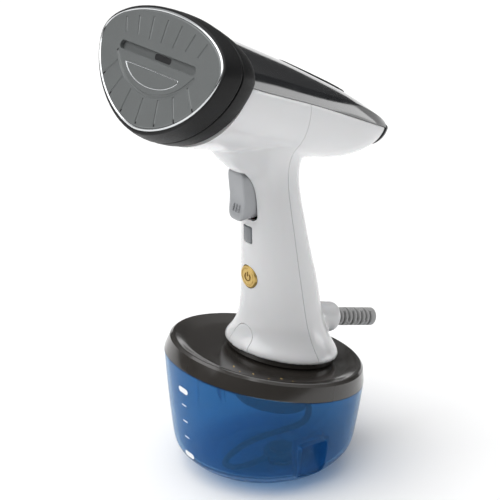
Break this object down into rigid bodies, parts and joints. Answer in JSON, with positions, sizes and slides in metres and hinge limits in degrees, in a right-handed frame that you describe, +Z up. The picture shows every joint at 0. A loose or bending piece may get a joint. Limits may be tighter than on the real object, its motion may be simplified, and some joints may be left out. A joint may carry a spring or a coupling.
{
  "type": "garment steamer",
  "caption": "Hand-held garment steamer with a wide steam plate on a wedge-shaped head, a round handle with a trigger, and a clear lidded water tank that serves as its foot.",
  "frame": {"origin": "centre of the water tank's flat base, on the surface it stands on", "axes": "+Z up, -Y the way the steam plate faces, +X to the right when looking along +Y"},
  "size_m": [0.1148, 0.1635, 0.2705],
  "materials": {
    "white_abs": "high gloss moulded",
    "black_nylon": "satin moulded",
    "dark_gloss_abs": "high gloss moulded",
    "coated_plate": "satin non-stick coating on aluminium",
    "cast_aluminium": "as cast",
    "steel": "drawn or stamped",
    "silver_paint": "metallic silver paint on ABS",
    "gold_paint": "metallic gold paint on ABS",
    "smoked_lens": "polished clear polycarbonate",
    "circuit_board": "solder mask on glass-epoxy board",
    "switch_plastic": "moulded phenolic",
    "lid_abs": "semi-gloss moulded",
    "tank_blue": "clear blue moulded",
    "seal_rubber": "matt moulded",
    "relief_rubber": "matt moulded",
    "clear_hose": "translucent silicone",
    "dark_hose": "soft matt",
    "filter_plastic": "moulded, weighted"
  },
  "bodies": {
    "handle": {"front_shell": "white_abs", "rear_shell": "white_abs", "front_collar": "black_nylon", "rear_collar": "black_nylon", "base_plate": "black_nylon", "water_spigot": "black_nylon", "top_cover": "dark_gloss_abs", "cover_inlay": "dark_gloss_abs", "steam_plate": "coated_plate", "boiler": "cast_aluminium", "boiler_cover": "cast_aluminium", "heating_element": "steel", "cover_screw_1": "steel", "cover_screw_2": "steel", "cover_screw_3": "steel", "cover_screw_4": "steel", "trigger_pin": "steel", "trigger_spring": "steel", "pump": "steel", "indicator_lens": "smoked_lens", "indicator_lamp": "smoked_lens", "control_board": "circuit_board", "thermostat": "switch_plastic", "thermal_fuse": "switch_plastic", "trigger_switch": "switch_plastic", "power_switch": "switch_plastic", "spigot_seal": "seal_rubber", "pump_mount": "seal_rubber", "strain_relief": "relief_rubber", "pump_outlet_hose": "clear_hose", "pump_inlet_hose": "clear_hose"},
    "trigger": {"trigger": "silver_paint"},
    "power_button": {"power_button": "gold_paint"},
    "release_button": {"release_button": "white_abs", "release_spring": "steel"},
    "tank": {"tank": "tank_blue", "tank_floor": "tank_blue", "tank_lid": "lid_abs", "lid_gasket": "seal_rubber", "valve_housing": "black_nylon", "tank_valve": "filter_plastic", "valve_spring": "steel", "pickup_hose": "dark_hose", "inlet_filter": "filter_plastic"},
    "filler_plug": {"filler_plug": "seal_rubber"}
  },
  "joints": [
    {"name": "trigger_swing", "type": "hinge", "parent": "handle", "child": "trigger", "pos_m": [0, -0.0046, 0.1756], "axis": [1, 0, 0], "range_deg": [0, 7], "stiffness_Nm_per_rad": 0.08, "springref_deg": -8.59},
    {"name": "power_button_press", "type": "slide", "parent": "handle", "child": "power_button", "axis": [0, 1, 0], "range_m": [0, 0.0012], "stiffness_N_per_m": 500, "springref_m": -0.002},
    {"name": "release_button_press", "type": "slide", "parent": "handle", "child": "release_button", "axis": [0, 1, 0], "range_m": [0, 0.0025], "stiffness_N_per_m": 400, "springref_m": -0.003},
    {"name": "tank_pull", "type": "slide", "parent": "handle", "child": "tank", "axis": [0, -0.2198, -0.9755], "range_m": [0, 0.06]},
    {"name": "plug_pull", "type": "slide", "parent": "tank", "child": "filler_plug", "axis": [0, 1, 0], "range_m": [0, 0.014]}
  ]
}
